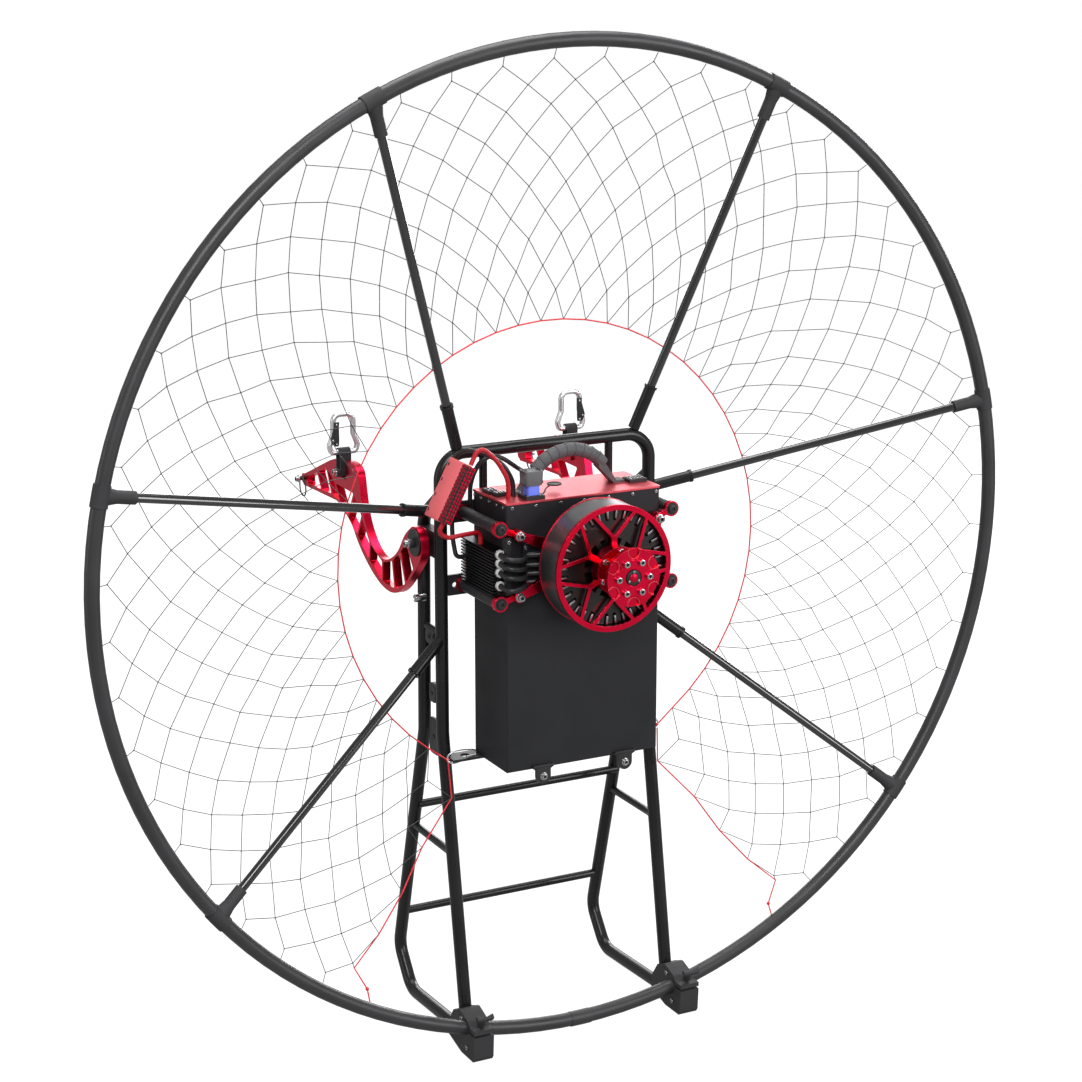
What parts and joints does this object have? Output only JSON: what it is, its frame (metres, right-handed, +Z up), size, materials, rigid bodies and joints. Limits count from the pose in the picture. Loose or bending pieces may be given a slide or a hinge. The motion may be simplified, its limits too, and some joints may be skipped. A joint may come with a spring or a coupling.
{
  "type": "electric paramotor",
  "caption": "Electric paramotor on a tube stand: round hoop cage on radial spars, battery box, open outrunner motor without propeller, and swing arms with hooks.",
  "frame": {"origin": "on the ground under the middle of the machine's box, which is 214.5 mm in front of the hoop's plane", "axes": "+Z up, +Y forwards (the way the machine flies, towards the swing arms), +X the pilot's right"},
  "size_m": [1.5218, 0.755, 1.5318],
  "materials": {
    "gloss_black": "gloss",
    "hoop_black": "satin",
    "moulded_black": "matte",
    "satin_black": "satin",
    "case_grey": "satin",
    "red_anodised": "satin",
    "red_lid": "satin",
    "bell_grey": "satin",
    "steel": "satin",
    "black_bolt": "satin",
    "windings": "satin",
    "heatsink_black": "satin",
    "webbing": "matte",
    "grip_grey": "matte",
    "plug_grey": "matte",
    "socket_blue": "matte",
    "contact_black": "matte",
    "red_lead": "satin",
    "black_lead": "satin"
  },
  "bodies": {
    "airframe": {"hoop_tubes": "hoop_black", "hoop_fittings": "moulded_black", "hoop_joint": "hoop_black", "spars": "gloss_black", "spar_sleeves": "gloss_black", "upper_frame": "gloss_black", "rear_legs": "gloss_black", "front_legs": "gloss_black", "crossbars": "gloss_black", "side_braces": "gloss_black", "battery_rails": "gloss_black", "cross_plates": "satin_black", "battery_shelf": "satin_black", "battery_case": "case_grey", "battery_lid": "red_lid", "carry_handle": "grip_grey", "power_plug_base": "satin_black", "power_socket": "socket_blue", "power_plug": "plug_grey", "lid_connectors": "contact_black", "standoffs": "satin_black", "standoff_collars": "red_anodised", "corner_clamps": "red_anodised", "motor_cradle": "red_anodised", "cradle_bolts": "steel", "motor_shaft": "steel", "stator": "windings", "controller": "heatsink_black", "terminal_post": "contact_black", "terminal_strip": "contact_black", "switch_module": "red_anodised", "module_bracket": "satin_black", "left_pivot": "satin_black", "right_pivot": "satin_black", "foot_blocks": "moulded_black", "foot_caps": "moulded_black", "wing_knobs": "moulded_black", "red_cables": "red_lead", "black_cables": "black_lead", "phase_cables": "black_lead"},
    "rotor": {"rotor_can": "bell_grey", "rotor_lip": "red_anodised", "rotor_wheel": "red_anodised", "rotor_hub": "red_anodised", "prop_flange": "red_anodised", "prop_bolts": "steel"},
    "left_arm_body": {"left_arm": "red_anodised", "left_strap": "webbing", "left_carabiner": "steel", "left_strap_bolt": "black_bolt"},
    "right_arm_body": {"right_arm": "red_anodised", "right_strap": "webbing", "right_carabiner": "steel", "right_strap_bolt": "black_bolt"}
  },
  "joints": [
    {"name": "rotor_turn", "type": "hinge", "parent": "airframe", "child": "rotor", "pos_m": [0, -0.3145, 0.771], "axis": [0, 1, 0], "continuous": true},
    {"name": "left_arm_swing", "type": "hinge", "parent": "airframe", "child": "left_arm_body", "pos_m": [-0.2005, -0.0725, 0.779], "axis": [1, 0, 0], "range_deg": [0, 40]},
    {"name": "right_arm_swing", "type": "hinge", "parent": "airframe", "child": "right_arm_body", "pos_m": [0.2005, -0.0725, 0.779], "axis": [1, 0, 0], "range_deg": [0, 40]}
  ]
}
